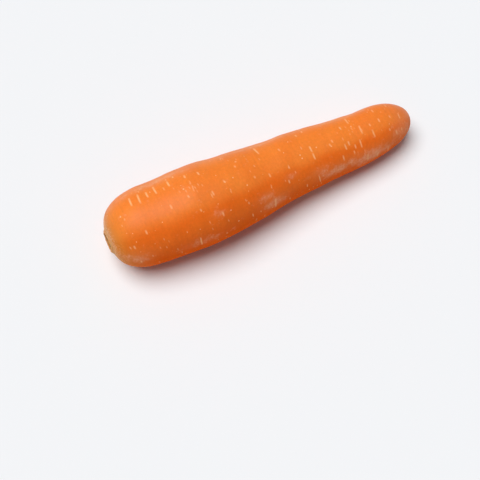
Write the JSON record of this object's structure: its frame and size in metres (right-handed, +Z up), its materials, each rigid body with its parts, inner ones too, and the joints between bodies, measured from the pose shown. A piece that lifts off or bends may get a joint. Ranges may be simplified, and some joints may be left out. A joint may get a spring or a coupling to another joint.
{
  "type": "carrot",
  "caption": "Blunt, slightly bent carrot root with trimmed leaf-stalk stubs set in its crown, lying on its side.",
  "frame": {"origin": "on the surface that the carrot lies on, under the middle of its box", "axes": "+X along the root from its crown to its tip, +Z up from the surface that it lies on"},
  "size_m": [0.1816, 0.0446, 0.0436],
  "materials": {
    "carrot_skin": "satin raw carrot skin, washed",
    "dried_stalk": "dry, fibrous olive-brown stalk",
    "green_bud": "matt yellow-green heart"
  },
  "bodies": {
    "root": {"root": "carrot_skin", "leaf_stalk_inner_1": "dried_stalk", "leaf_stalk_inner_2": "dried_stalk", "leaf_stalk_inner_3": "dried_stalk", "leaf_stalk_outer_1": "dried_stalk", "leaf_stalk_outer_2": "dried_stalk", "leaf_stalk_outer_3": "dried_stalk", "leaf_stalk_outer_4": "dried_stalk", "crown_bud": "green_bud"}
  },
  "joints": []
}
